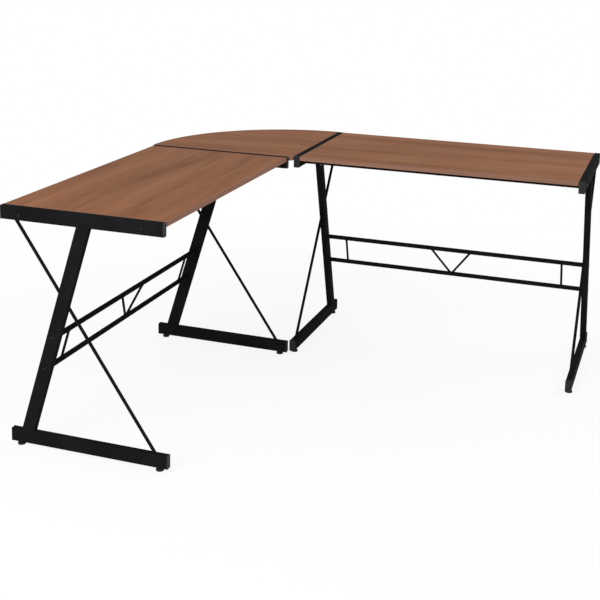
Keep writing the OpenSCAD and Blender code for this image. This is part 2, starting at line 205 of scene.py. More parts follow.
class StudioSettings(bpy.types.PropertyGroup):
    """The floor, the lamps and the camera."""

    floor: colour_setting("Floor", "Colour of the floor as the lamps light it", paint(250, 250, 250))
    white_share: bpy.props.FloatProperty(name="White floor", default=0.88, min=0, max=1, subtype="FACTOR",
                                         description="Share of the floor's shade lifted to white")
    sky_strength: bpy.props.FloatProperty(name="Sky", description="Strength of the even light", default=0.5)
    key_power: bpy.props.FloatProperty(name="Key lamp", description="Power of the front lamp", default=140,
                                       unit="POWER")
    fill_power: bpy.props.FloatProperty(name="Fill lamp", description="Power of the rear lamp", default=45,
                                        unit="POWER")
    key_size: length_setting("Key lamp size", "Width of the front lamp", 2.6)
    fill_size: length_setting("Fill lamp size", "Width of the rear lamp", 2.2)
    key_place: place_setting("Key lamp place", "Place of the front lamp", (-1.0, -4.0, 2.5))
    fill_place: place_setting("Fill lamp place", "Place of the rear lamp", (2.4, 2.2, 3.0))
    floor_reach: length_setting("Floor reach", "From the middle of the floor to its sides", 20)
    fade_start: length_setting("Fade start", "From the middle to where the floor starts to whiten", 1.0)
    fade_end: length_setting("Fade end", "From the middle to where the floor is plain white", 2.4)
    camera_place: place_setting("Camera", "Place of the camera", (1.1004, -3.5244, 1.545))
    camera_yaw: bpy.props.FloatProperty(name="Yaw", description="Turn of the camera to the left",
                                        default=math.radians(19.91), subtype="ANGLE")
    camera_pitch: bpy.props.FloatProperty(name="Pitch", description="Tilt of the camera upwards",
                                          default=math.radians(-10.99), subtype="ANGLE")
    camera_roll: bpy.props.FloatProperty(name="Roll", description="Roll of the camera",
                                         default=math.radians(0.99), subtype="ANGLE")
    lens: bpy.props.FloatProperty(name="Lens", description="Focal length in millimetres", default=69.4)
    shift: bpy.props.FloatVectorProperty(name="Shift", description="Sideways and upward shift of the lens",
                                         default=(0.025, -0.258), size=2)


SETTINGS = {
    "desk_boards": BoardSettings,
    "desk_steel": SteelSettings,
    "desk_plastic": PlasticSettings,
    "desk_fasteners": FastenerSettings,
    "desk_studio": StudioSettings,
}


# ---- Materials ----

class Number:
    """A number that varies over a surface. Arithmetic on it adds Math nodes beside its own."""

    def __init__(self, nodes, socket):
        self.nodes = nodes
        self.socket = socket

    def math(self, operation, first, second=0.0, clamp=False):
        """The number that one Math node gives."""
        node = self.nodes.add("ShaderNodeMath", {"operation": operation, "use_clamp": clamp},
                              {0: first, 1: second})
        return Number(self.nodes, node.outputs[0])

    def __add__(self, other):
        return self.math("ADD", self, other)

    def __radd__(self, other):
        return self.math("ADD", other, self)

    def __sub__(self, other):
        return self.math("SUBTRACT", self, other)

    def __rsub__(self, other):
        return self.math("SUBTRACT", other, self)

    def __mul__(self, other):
        return self.math("MULTIPLY", self, other)

    def __rmul__(self, other):
        return self.math("MULTIPLY", other, self)

    def clamped(self):
        """The same number, kept from 0 to 1."""
        return self.math("ADD", self, 0.0, clamp=True)

    def ramp(self, low, high):
        """0 below low, 1 above high and a smooth rise between."""
        node = self.nodes.add("ShaderNodeMapRange", {"interpolation_type": "SMOOTHSTEP"},
                              {"Value": self, "From Min": low, "From Max": high})
        return Number(self.nodes, node.outputs["Result"])


class Nodes:
    """The nodes of a material or of the world. Every node comes from add."""

    def __init__(self, owner):
        owner.use_nodes = True
        self.tree = owner.node_tree
        self.tree.nodes.clear()

    def add(self, kind, settings=None, inputs=None):
        """Adds a node: its settings first, then the values or links of its sockets."""
        node = self.tree.nodes.new(kind)
        for name, value in (settings or {}).items():
            setattr(node, name, value)
        for key, value in (inputs or {}).items():
            self.feed(node.inputs[key], value)
        return node

    def feed(self, socket, value):
        """Links a number, colour or vector to a socket, or sets a plain value on it."""
        source = value.socket if isinstance(value, Number) else value
        if isinstance(source, bpy.types.NodeSocket):
            self.tree.links.new(source, socket)
        else:
            socket.default_value = source

    def seen_directly(self):
        """1 for what the camera, a mirror or clear glass shows of the background, and 0 for its light."""
        path = self.add("ShaderNodeLightPath").outputs
        camera, glossy, clear = (Number(self, path[name]) for name in
                                 ("Is Camera Ray", "Is Glossy Ray", "Is Transmission Ray"))
        return (camera + glossy + clear).clamped()


class Finish(Nodes):
    """A material in the making, with short forms of the nodes that finishes use."""

    def __init__(self, name):
        self.material = bpy.data.materials.new(name)
        super().__init__(self.material)
        self.place = self.add("ShaderNodeTexCoord").outputs["Object"]

    def scaled_place(self, scale, turn=0.0, start=(0, 0, 0)):
        """The piece's own coordinates, moved by start, turned about Z and scaled."""
        turned = self.add("ShaderNodeMapping", {"vector_type": "POINT"},
                          {"Vector": self.place, "Location": start, "Rotation": (0, 0, turn)})
        stretched = self.add("ShaderNodeVectorMath", {"operation": "MULTIPLY"},
                             {0: turned.outputs["Vector"], 1: scale})
        return stretched.outputs["Vector"]

    def noise(self, vector, scale=1.0, detail=2.0, roughness=0.5, distortion=0.0):
        """Smooth noise from 0 to 1."""
        node = self.add("ShaderNodeTexNoise", {"noise_dimensions": "3D"},
                        {"Vector": vector, "Scale": scale, "Detail": detail, "Roughness": roughness,
                         "Distortion": distortion})
        return Number(self, node.outputs[0])

    def mix(self, factor, first, second):
        """A colour between first, at 0, and second, at 1."""
        node = self.add("ShaderNodeMix", {"data_type": "RGBA"}, {0: factor, 6: first, 7: second})
        return node.outputs[2]

    def bump(self, height, depth):
        """A surface raised by depth where height is 1."""
        node = self.add("ShaderNodeBump", None, {"Height": height, "Distance": depth})
        return node.outputs["Normal"]

    def surface(self, inputs, **constants):
        """Ends the finish in one Principled node, and returns the material."""
        shader = self.add("ShaderNodeBsdfPrincipled", None, {**inputs, **constants})
        self.add("ShaderNodeOutputMaterial", None, {"Surface": shader.outputs["BSDF"]})
        return self.material


def opaque(colour):
    """A colour setting as a socket's four numbers."""
    return (*colour, 1.0)


def laminate_finish(name, settings, turn, start):
    """Walnut laminate whose grain runs along X once it is turned: bands, streaks, fine lines and pores."""
    finish = Finish(name)
    drift = finish.noise(finish.scaled_place((0.9, 3.2, 3.2), turn, start), detail=1.0)
    bend = finish.add("ShaderNodeCombineXYZ", None, {"Y": (drift - 0.5) * 0.09})
    bent = finish.add("ShaderNodeVectorMath", {"operation": "ADD"},
                      {0: finish.scaled_place((1, 1, 1), turn, start), 1: bend.outputs["Vector"]})

    def grain(along, across, detail, roughness=0.5, distortion=0.0):
        """Noise with that many waves to the metre along the grain and across it."""
        vector = finish.add("ShaderNodeVectorMath", {"operation": "MULTIPLY"},
                            {0: bent.outputs["Vector"], 1: (along, across, across)})
        return finish.noise(vector.outputs["Vector"], 1.0, detail, roughness, distortion)

    bands = grain(1.1, 11, 2.0).ramp(0.3, 0.7)
    streaks = grain(2.6, 52, 3.0, 0.6, 0.4).ramp(0.28, 0.72)
    lines = grain(7, 260, 3.0, 0.65).ramp(0.25, 0.75)
    pores = grain(30, 1300, 2.0).ramp(0.6, 0.72)
    tone = (bands * 0.46 + streaks * 0.28 + lines * 0.26).clamped()
    dark_side = finish.mix(tone.ramp(0.0, 0.5), opaque(settings.dark), opaque(settings.middle))
    colour = finish.mix(tone.ramp(0.42, 1.0), dark_side, opaque(settings.light))
    colour = finish.mix(pores * 0.22, colour, opaque(settings.dark))
    normal = finish.bump(1 - pores * 0.8 - lines * 0.2, 0.06 * MM)
    return finish.surface({"Base Color": colour, "Roughness": 0.6 - lines * 0.08 + pores * 0.12,
                           "Normal": normal}, **{"Specular IOR Level": 0.03})


def edging_finish(settings):
    """Edging whose fine streaks run level round the board, whichever way the edge turns."""
    finish = Finish("edging")
    streaks = finish.noise(finish.scaled_place((5, 5, 420)), detail=3.0).ramp(0.25, 0.75)
    bands = finish.noise(finish.scaled_place((1.6, 1.6, 60)), detail=2.0).ramp(0.3, 0.7)
    tone = streaks * 0.55 + bands * 0.45
    dusky = [0.72 * value for value in settings.edging]
    # settings.edging is lighter than the laminate: painted light on the board edges, mixed here with the
    # edging's darker grain streaks
    colour = finish.mix(tone, opaque(dusky), opaque(settings.edging))
    normal = finish.bump(streaks, 0.03 * MM)
    return finish.surface({"Base Color": colour, "Roughness": 0.55 - streaks * 0.06, "Normal": normal},
                          **{"Specular IOR Level": 0.04})


def powder_finish(settings):
    """Flat black powder coat with a fine orange peel and a slow change of gloss."""
    finish = Finish("powder_coat")
    peel = finish.noise(finish.place, 620, 2.0)
    grit = finish.noise(finish.place, 2600, 1.0)
    gloss = finish.noise(finish.place, 9, 2.0)
    light = [1.9 * value for value in settings.coat]
    colour = finish.mix(gloss.ramp(0.3, 0.8) * 0.6 + grit * 0.3, opaque(settings.coat), opaque(light))
    normal = finish.bump(peel * 0.7 + grit * 0.3, 0.05 * MM)
    return finish.surface({"Base Color": colour, "Roughness": 0.6 + gloss * 0.14 + grit * 0.08,
                           "Normal": normal}, **{"Specular IOR Level": 0.006})


def plastic_finish(name, base):
    """Moulded plastic with a spark-eroded grain."""
    finish = Finish(name)
    grain = finish.noise(finish.place, 1900, 2.0, 0.6)
    cloud = finish.noise(finish.place, 35, 2.0)
    light = [1.35 * value for value in base]
    colour = finish.mix(cloud.ramp(0.3, 0.7) * 0.7 + grain * 0.3, opaque(base), opaque(light))
    return finish.surface({"Base Color": colour, "Roughness": 0.46 + grain * 0.16,
                           "Normal": finish.bump(grain, 0.05 * MM)}, **{"Specular IOR Level": 0.15})


def oxide_finish(settings):
    """Black oxide on the bolts, worn a little lighter in patches."""
    finish = Finish("black_oxide")
    wear = finish.noise(finish.place, 160, 3.0, 0.6)
    bright = [2.1 * value for value in settings.oxide]
    colour = finish.mix(wear.ramp(0.45, 0.8) * 0.7, opaque(settings.oxide), opaque(bright))
    return finish.surface({"Base Color": colour, "Roughness": 0.3 + wear * 0.16,
                           "Normal": finish.bump(wear, 0.02 * MM)}, Metallic=0.85)


def zinc_finish(settings):
    """Zinc plating with soft spangle and fine draw marks."""
    finish = Finish("zinc_plating")
    spangle = finish.add("ShaderNodeTexVoronoi", {"feature": "F1"}, {"Vector": finish.place, "Scale": 420})
    patches = Number(finish, spangle.outputs["Distance"])
    haze = finish.noise(finish.place, 90, 3.0)
    dull = [0.7 * value for value in settings.zinc]
    colour = finish.mix((patches * 0.6 + haze * 0.6).clamped(), opaque(settings.zinc), opaque(dull))
    return finish.surface({"Base Color": colour, "Roughness": 0.28 + haze * 0.22,
                           "Normal": finish.bump(patches, 0.02 * MM)}, Metallic=1.0)


def made_once(maker, settings):
    """The material that maker gives, made the first time it is asked for."""
    if maker not in SHARED:
        SHARED[maker] = maker(settings)
    return SHARED[maker]


# ---- Measuring the frame ----

def right_twin(name):
    """The name of the right wing's node that mirrors this one."""
    return name.replace("left", "right")


def wing_of(name):
    """The wing that a frame belongs to, left or right."""
    return name.split("_")[0]


def right_box(name):
    """Lowest and highest corner of a node's twin in the right wing."""
    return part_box(right_twin(name))


def solids(node):
    """Lowest and highest corner of each separate solid of a CAD node."""
    bm = bmesh.new()
    bm.from_mesh(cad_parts[node].data)
    bmesh.ops.remove_doubles(bm, verts=bm.verts, dist=TINY)
    boxes = []
    unseen = set(bm.verts)
    while unseen:
        front = [unseen.pop()]
        solid = []
        while front:
            vertex = front.pop()
            solid.append(vertex.co.copy())
            linked = {edge.other_vert(vertex) for edge in vertex.link_edges} & unseen
            unseen -= linked
            front.extend(linked)
        boxes.append((Vector(map(min, zip(*solid))), Vector(map(max, zip(*solid)))))
    bm.free()
    return sorted(boxes, key=lambda box: tuple(round(value, 5) for value in box[0]))


def right_solids(node):
    """The boxes of a CAD node's solids in the right wing, which is the half beyond the mirror line."""
    return [box for box in solids(node) if box[0].x + box[1].x + box[0].y + box[1].y > 0]


def lean_in_box(run, rise, thickness):
    """The lean from upright of a bar of that thickness, cut level at both ends, that fills run by rise."""
    return math.acos(thickness / math.hypot(run, rise)) - math.atan2(rise, run)


# ---- Shaping ----

def block(lo, hi):
    """The matrix that makes a unit cube fill the box from lo to hi."""
    return Matrix.Translation((lo + hi) / 2) @ Matrix.Diagonal((*(hi - lo), 1))


def round_edges(bm, edges, radius, segments):
    """Rounds edges by a radius."""
    bmesh.ops.bevel(bm, geom=list(edges), offset=radius, offset_type="OFFSET", segments=segments,
                    profile=0.5, affect="EDGES", material=-1)


def round_corners(bm, corners, radius, segments):
    """Rounds the corners of a flat face at these vertices."""
    bmesh.ops.bevel(bm, geom=list(corners), offset=radius, offset_type="OFFSET", segments=segments,
                    profile=0.5, affect="VERTICES", material=-1)


def vertices(geom):
    """The vertices among what an operator gives."""
    return [item for item in geom if isinstance(item, bmesh.types.BMVert)]


def edges_along(bm, axis):
    """The edges that run along one axis."""
    return [e for e in bm.edges if abs((e.verts[1].co - e.verts[0].co).normalized()[axis]) > ALONG]


def faces_towards(bm, axis, sign):
    """The flat faces that look along one axis, up it or down it by the sign."""
    return [f for f in bm.faces if f.normal[axis] * sign > ALONG]


def rim_edges(bm, axis, sign):
    """The edges round the flat end that faces along one axis."""
    ends = faces_towards(bm, axis, sign)
    return {e for f in ends for e in f.edges if any(g not in ends for g in e.link_faces)}


def face_outwards(bm):
    """Turns the faces of a closed shape outwards, also where it is hollow from one side."""
    bmesh.ops.recalc_face_normals(bm, faces=bm.faces)
    if bm.calc_volume(signed=True) < 0:
        bmesh.ops.reverse_faces(bm, faces=bm.faces)


def join(bm, other, place=Matrix.Identity(4)):
    """Adds a second shape to the first in its place, and frees it."""
    mesh = bpy.data.meshes.new("joined")
    other.to_mesh(mesh)
    other.free()
    mesh.transform(place)
    bm.from_mesh(mesh)
    bpy.data.meshes.remove(mesh)


def close_ends(bm):
    """Fills each open rim of a shape with one face."""
    bmesh.ops.holes_fill(bm, edges=[e for e in bm.edges if e.is_boundary])


def lathe(bm, rings, steps, place=Matrix.Identity(4)):
    """A closed turned shape. Each ring is its radius, its height and, if it isn't round, a form:
    what the radius is multiplied by at each angle."""
    shape = bmesh.new()
    number = shape.verts.layers.int.new("ring")
    profile = []
    for index, ring in enumerate(rings):
        vertex = shape.verts.new((ring[0], 0, ring[1]))
        vertex[number] = index
        profile.append(vertex)
    edges = [shape.edges.new(pair) for pair in zip(profile, profile[1:])]
    bmesh.ops.spin(shape, geom=[*profile, *edges], cent=(0, 0, 0), axis=(0, 0, 1), angle=2 * math.pi,
                   steps=steps, use_merge=True, use_duplicate=False)
    for vertex in shape.verts:
        for form in rings[vertex[number]][2:]:
            reach = form(math.atan2(vertex.co.y, vertex.co.x))
            vertex.co = (reach * vertex.co.x, reach * vertex.co.y, vertex.co.z)
    close_ends(shape)
    bmesh.ops.recalc_face_normals(shape, faces=shape.faces)
    join(bm, shape, place)


def hexagon(angle):
    """How far a hexagon of unit half width reaches at an angle."""
    sixth = math.pi / 3
    return 1 / math.cos((angle + sixth / 2) % sixth - sixth / 2)


def cross(angle):
    """How far a cross recess of unit size reaches at an angle."""
    return CROSS_WAIST + (1 - CROSS_WAIST) * abs(math.cos(2 * angle)) ** 3


def scalloped(count):
    """A form with that many shallow grip flutes."""
    return lambda angle: 1 - FLUTE_DEPTH * abs(math.cos(count * angle / 2)) ** 3


def ridges(outer, start, end, pitch):
    """The rings of a shank's thread, drawn as ridges, from one height to another."""
    inner = outer - THREAD_DEPTH * pitch
    turns = round((end - start) / pitch)
    return [(radius, start + (turn + share) * (end - start) / turns)
            for turn in range(turns)
            for share, radius in ((HALF_ROOT, inner), (CREST_START, outer),
                                  (CREST_END, outer), (1 - HALF_ROOT, inner))]


def add_left_twin(bm):
    """Adds the left wing's mirror image of what is built in the right wing."""
    twin = bmesh.ops.duplicate(bm, geom=[*bm.verts, *bm.edges, *bm.faces])["geom"]
    bmesh.ops.transform(bm, matrix=LEFT_WING, verts=vertices(twin))
    bmesh.ops.reverse_faces(bm, faces=[f for f in twin if isinstance(f, bmesh.types.BMFace)])


def make_piece(name, bm, materials, body="desk", side="right", replaces=()):
    """Ends a shape as a piece of the desk: mirrored if it is the left wing's, shaded, finished, riding."""
    if side == "left":
        bmesh.ops.transform(bm, matrix=LEFT_WING, verts=bm.verts)
        bmesh.ops.reverse_faces(bm, faces=bm.faces)
    for face in bm.faces:
        face.smooth = True
    for edge in bm.edges:
        edge.smooth = edge.calc_face_angle(0.0) < SMOOTH_ANGLE
    mesh = bpy.data.meshes.new(name)
    bm.to_mesh(mesh)
    bm.free()
    for material in materials:
        mesh.materials.append(material)
    piece = bpy.data.objects.new(name, mesh)
    bpy.context.scene.collection.objects.link(piece)
    shading = piece.modifiers.new("even_shading", "WEIGHTED_NORMAL")
    shading.keep_sharp = True
    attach(piece, body)
    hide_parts(*replaces)


def refinish(node, material):
    """Gives a CAD node that keeps its own mesh a better material."""
    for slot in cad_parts[node].material_slots:
        slot.material = material


# ---- Boards ----

def seam_and_round(bm, settings):
    """Rounds a slab's edges, and cuts the fine groove between its laminate faces and its edging."""
    round_edges(bm, rim_edges(bm, 2, 1) | rim_edges(bm, 2, -1), settings.edge_round, segments=4)
    for face in bm.faces:
        face.material_index = EDGING
    half = settings.seam / 2
    for face in faces_towards(bm, 2, 1) + faces_towards(bm, 2, -1):
        for depth in (-half, half):
            bmesh.ops.inset_region(bm, faces=[face], thickness=half, depth=depth, use_even_offset=True)
        face.material_index = LAMINATE


def wing_slab(settings, lo, hi):
    """A rectangular slab with slightly rounded corners."""
    bm = bmesh.new()
    bmesh.ops.create_cube(bm, size=1, matrix=block(lo, hi))
    round_edges(bm, edges_along(bm, 2), 2 * settings.edge_round, segments=6)
    seam_and_round(bm, settings)
    return bm


def corner_slab(settings, lo, hi):
    """Quarter disc whose centre lies where the front lines of the wings' bottom rails cross."""
    front_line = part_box("caps_right_inner")[0].y
    centre = Vector((-front_line, front_line, lo.z))
    radius = hi.y - centre.y
    overlap = math.asin((hi.x - centre.x) / radius)
    bm = bmesh.new()
    start = bm.verts.new((hi.x, centre.y + radius * math.cos(overlap), lo.z))
    arc = bmesh.ops.spin(bm, geom=[start], cent=centre, axis=(0, 0, 1), angle=math.pi / 2 + 2 * overlap,
                         steps=96, use_duplicate=False)
    last = vertices(arc["geom_last"])[0]
    inner = bm.verts.new((hi.x, lo.y, lo.z))
    bm.edges.new((last, inner))
    bm.edges.new((inner, start))
    bmesh.ops.contextual_create(bm, geom=bm.edges)
    round_corners(bm, [inner], settings.corner_round, segments=10)
    raised = bmesh.ops.extrude_face_region(bm, geom=bm.faces)["geom"]
    bmesh.ops.translate(bm, vec=(0, 0, hi.z - lo.z), verts=vertices(raised))
    bmesh.ops.recalc_face_normals(bm, faces=bm.faces)
    seam_and_round(bm, settings)
    return bm


class DESK_OT_boards(bpy.types.Operator):
    """Builds the two wing boards and the corner board"""

    bl_idname = "desk.boards"
    bl_label = "Boards"

    def execute(self, context):
        settings = context.scene.desk_boards
        edging = edging_finish(settings)
        along_x, along_y = 0.0, math.pi / 2
        for name, make_slab, turn, side in (("left", wing_slab, along_y, "left"),
                                            ("right", wing_slab, along_x, "right"),
                                            ("corner", corner_slab, along_x, "right")):
            laminate = laminate_finish(f"laminate_{name}", settings, turn, GRAIN_START[name])
            slab = make_slab(settings, *right_box(f"board_{name}"))
            make_piece(f"panel_{name}", slab, (laminate, edging), side=side,
                       replaces=(f"board_{name}",))
        return {"FINISHED"}


# ---- Frames and their welds ----

def straight_bead(bm, start, end, size):
    """A rippled weld bead along a straight line, thinner at its ends."""
    run = end - start
    ripples = max(4, round(run.length / (STRAIGHT_RIPPLE * size)))
    rings = []
    for step in range(RIPPLE_STEPS * ripples + 1):
        share = step / (RIPPLE_STEPS * ripples)
        ripple = 1 - RIPPLE_DEPTH * abs(math.sin(math.pi * ripples * share))
        taper = min(1.0, BEAD_END + BEAD_GROWTH * min(share, 1 - share))
        rings.append((size * ripple * taper, share * run.length))
    turn = run.to_track_quat("Z", "Y").to_matrix().to_4x4()
    lathe(bm, rings, steps=12, place=Matrix.Translation(start) @ turn)


def ring_bead(bm, centre, normal, rod_axis, rod_radius, size):
    """A rippled weld bead round a rod where it meets a flat face, stretched the way the rod leans."""
    ripples = max(8, round(2 * math.pi * rod_radius / (ROUND_RIPPLE * size)))
    normal = normal.normalized()
    lean = rod_axis - rod_axis.dot(normal) * normal
    stretch = 1 / abs(rod_axis.normalized().dot(normal))
    across = lean.normalized() if lean.length > TINY else normal.orthogonal().normalized()
    ring = bmesh.new()
    section = bmesh.ops.create_circle(ring, segments=10, radius=size,
                                      matrix=Matrix.Translation((rod_radius, 0, 0))
                                      @ Matrix.Rotation(math.pi / 2, 4, "X"))["verts"]
    bmesh.ops.spin(ring, geom=[*section, *ring.edges], cent=(0, 0, 0), axis=(0, 0, 1), angle=2 * math.pi,
                   steps=RIPPLE_STEPS * ripples, use_merge=True)
    for vertex in ring.verts:
        angle = math.atan2(vertex.co.y, vertex.co.x)
        middle = Vector((math.cos(angle), math.sin(angle), 0)) * rod_radius
        ripple = 1 - RIPPLE_DEPTH * abs(math.sin(ripples * angle / 2))
        vertex.co = middle + (vertex.co - middle) * ripple
        vertex.co.x *= stretch
    bmesh.ops.recalc_face_normals(ring, faces=ring.faces)
    turn = Matrix((across, normal.cross(across), normal)).transposed().to_4x4()
    join(bm, ring, Matrix.Translation(centre) @ turn)


def crossing(point_a, slope_a, point_b, slope_b):
    """Where two lines in the plane of a frame cross. A line is a point and its change of Y for each Z."""
    height = (point_b.y - point_a.y + slope_a * point_a.z - slope_b * point_b.z) / (slope_a - slope_b)
    return Vector((point_a.x, point_a.y + slope_a * (height - point_a.z), height))


def frame_welds(name, settings):
    """The beads that join a frame's leg and rod to its rails and to each other."""
    bm = bmesh.new()
    leg_lo, leg_hi = right_box(f"leg_{name}")
    rod_lo, rod_hi = right_box(f"rod_{name}")
    rail_lo, rail_hi = right_box(f"top_rail_{name}")
    rise = leg_hi.z - leg_lo.z
    tube_height = rail_hi.z - rail_lo.z
    rod_width = rod_hi.x - rod_lo.x
    middle_x = (leg_lo.x + leg_hi.x) / 2
    leg_lean = lean_in_box(leg_hi.y - leg_lo.y, rise, tube_height)
    rod_lean = lean_in_box(rod_hi.y - rod_lo.y, rise, rod_width)
    leg_cut = tube_height / math.cos(leg_lean)
    rod_cut = rod_width / math.cos(rod_lean)

    near, far = leg_lo.x + settings.weld, leg_hi.x - settings.weld
    for y, z in ((leg_lo.y, leg_hi.z), (leg_lo.y + leg_cut, leg_hi.z),
                 (leg_hi.y - leg_cut, leg_lo.z), (leg_hi.y, leg_lo.z)):
        straight_bead(bm, Vector((near, y, z)), Vector((far, y, z)), settings.weld)

    rod_axis = Vector((0, math.sin(rod_lean), math.cos(rod_lean)))
    rod_top = Vector((middle_x, rod_hi.y - rod_cut / 2, rod_hi.z))
    rod_bottom = Vector((middle_x, rod_lo.y + rod_cut / 2, rod_lo.z))
    for end in (rod_top, rod_bottom):
        ring_bead(bm, end, Vector((0, 0, 1)), rod_axis, rod_width / 2, settings.fine_weld)
    face_normal = Vector((0, math.cos(leg_lean), math.sin(leg_lean)))
    for face_y in (leg_lo.y, leg_lo.y + leg_cut):
        face_point = Vector((middle_x, face_y, leg_hi.z))
        meeting = crossing(face_point, -math.tan(leg_lean), rod_bottom, math.tan(rod_lean))
        ring_bead(bm, meeting, face_normal, rod_axis, rod_width / 2, settings.fine_weld)
    return bm


class DESK_OT_frames(bpy.types.Operator):
    """Finishes the four frames' tubes and rods, and adds their welds"""

    bl_idname = "desk.frames"
    bl_label = "Frames and welds"

    def execute(self, context):
        settings = context.scene.desk_steel
        coat = made_once(powder_finish, settings)
        for name in FRAMES:
            for piece in ("top_rail", "bottom_rail", "leg", "rod"):
                refinish(f"{piece}_{name}", coat)
            make_piece(f"welds_{name}", frame_welds(name, settings), (coat,),
                       side=wing_of(name))
        return {"FINISHED"}


# ---- End caps ----

def cap_flange(settings, lo, hi, outward):
    """The part of a cap that closes the tube's end, its rim rounded like a pillow."""
    bm = bmesh.new()
    bmesh.ops.create_cube(bm, size=1, matrix=block(lo, hi))
    round_edges(bm, edges_along(bm, 1), settings.cap_corner, segments=6)
    round_edges(bm, rim_edges(bm, 1, outward), settings.cap_round, segments=5)
    return bm


def cap_plug(settings, lo, hi, outward):
    """The part of a cap inside the tube: a cup that opens away from the flange."""
    bm = bmesh.new()
    bmesh.ops.create_cube(bm, size=1, matrix=block(lo, hi))
    round_edges(bm, edges_along(bm, 1), settings.plug_corner, segments=2)
    mouth = faces_towards(bm, 1, -outward)
    bmesh.ops.inset_region(bm, faces=mouth, thickness=settings.plug_wall, use_even_offset=True)
    hollow = bmesh.ops.extrude_face_region(bm, geom=mouth)["geom"]
    bmesh.ops.delete(bm, geom=mouth, context="FACES")
    depth = PLUG_HOLLOW * (hi.y - lo.y)
    bmesh.ops.translate(bm, vec=(0, outward * depth, 0), verts=vertices(hollow))
    face_outwards(bm)
    return bm


def end_cap(bm, settings, cap, rail):
    """One cap, whose flange meets its plug where the rail's tube ends."""
    lo, hi = cap
    tube_lo, tube_hi = rail
    outward = -1 if lo.y < tube_lo.y else 1
    flange_lo, flange_hi, plug_lo, plug_hi = lo.copy(), hi.copy(), lo.copy(), hi.copy()
    if outward < 0:
        flange_hi.y = plug_lo.y = tube_lo.y
    else:
        flange_lo.y = plug_hi.y = tube_hi.y
    inset = tube_lo.x - lo.x + settings.plug_gap
    plug_lo += Vector((inset, 0, inset))
    plug_hi -= Vector((inset, 0, inset))
    join(bm, cap_flange(settings, flange_lo, flange_hi, outward))
    join(bm, cap_plug(settings, plug_lo, plug_hi, outward))


class DESK_OT_end_caps(bpy.types.Operator):
    """Builds the four end caps of each frame"""

    bl_idname = "desk.end_caps"
    bl_label = "End caps"

    def execute(self, context):
        settings = context.scene.desk_plastic
        plastic = plastic_finish("cap_plastic", settings.cap)
        for name in FRAMES:
            bm = bmesh.new()
            rails = [right_box(f"{level}_rail_{name}") for level in ("top", "bottom")]
            for cap in solids(right_twin(f"caps_{name}")):
                rail = min(rails, key=lambda box: abs(box[0].z - cap[0].z))
                end_cap(bm, settings, cap, rail)
            make_piece(f"end_caps_{name}", bm, (plastic,), side=wing_of(name),
                       replaces=(f"caps_{name}",))
        return {"FINISHED"}


# ---- Supports under the boards ----

def bracket(bm, settings, lo, hi, sheet):
    """An angle bracket bent from sheet: one arm under the corner board, the other down the rail."""
    shape = bmesh.new()
    outline = ((lo.x, lo.y, hi.z), (hi.x, lo.y, hi.z), (hi.x, lo.y, lo.z))
    profile = [shape.verts.new(place) for place in outline]
    fold = [shape.edges.new(ends) for ends in zip(profile, profile[1:])]
    swept = bmesh.ops.extrude_edge_only(shape, edges=fold)["geom"]
    bmesh.ops.translate(shape, vec=(0, hi.y - lo.y, 0), verts=vertices(swept))
    bmesh.ops.recalc_face_normals(shape, faces=shape.faces)
    if sum(face.normal.x + face.normal.z for face in shape.faces) < 0:
        bmesh.ops.reverse_faces(shape, faces=shape.faces)
    tips = [vertex for vertex in shape.verts if len(vertex.link_faces) == 1]
    round_corners(shape, tips, settings.bracket_corner, segments=6)
    bend = [edge for edge in shape.edges if len(edge.link_faces) == 2]
    round_edges(shape, bend, settings.bend, segments=6)
    bmesh.ops.solidify(shape, geom=shape.faces, thickness=sheet)
    join(bm, shape)


class DESK_OT_supports(bpy.types.Operator):
    """Builds the corner board's brackets, and finishes the bars that carry the wings' boards"""

    bl_idname = "desk.supports"
    bl_label = "Board supports"

    def execute(self, context):
        settings = context.scene.desk_steel
        coat = made_once(powder_finish, settings)
        zinc = made_once(zinc_finish, context.scene.desk_fasteners)
        for side in SIDES:
            for end in ENDS:
                refinish(f"bar_{side}_{end}", coat)
        refinish("bar_plugs", zinc)
        under_head = right_solids("rail_bolts")[0][0].x + head_height()
        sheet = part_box("top_rail_right_inner")[0].x - under_head
        bm = bmesh.new()
        for lo, hi in right_solids("corner_brackets"):
            bracket(bm, settings, lo, hi, sheet)
        add_left_twin(bm)
        make_piece("angle_brackets", bm, (coat,), replaces=("corner_brackets",))
        return {"FINISHED"}


# ---- Stretchers ----

def truss_welds(settings):
    """The beads where a stretcher's thin rods stand on its lower tube and reach its upper one.

    An upright is as wide as it is thick. The two rods of the V stand on the middle of the lower tube."""
    bm = bmesh.new()
    upper_lo, upper_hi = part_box("stretcher_upper_right")
    lower_lo, lower_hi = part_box("stretcher_lower_right")
    upper, lower = (upper_lo + upper_hi) / 2, (lower_lo + lower_hi) / 2
    tube_radius = (upper_hi.z - upper_lo.z) / 2
    normal = Vector((0, upper.y - lower.y, upper.z - lower.z))
    rods = solids("stretcher_rods_right")
    rod_radius = min(hi.x - lo.x for lo, hi in rods) / 2
    for lo, hi in rods:
        foot = tip = (lo.x + hi.x) / 2
        if hi.x - lo.x > 3 * rod_radius:
            foot, tip = lower.x, (lo.x if tip < lower.x else hi.x)
        axis = Vector((tip - foot, normal.y, normal.z))
        reach = axis * tube_radius / normal.length
        for place, outwards in ((Vector((foot, lower.y, lower.z)) + reach, normal),
                                (Vector((tip, upper.y, upper.z)) - reach, -normal)):
            ring_bead(bm, place, outwards, axis, rod_radius, settings.fine_weld)
    return bm


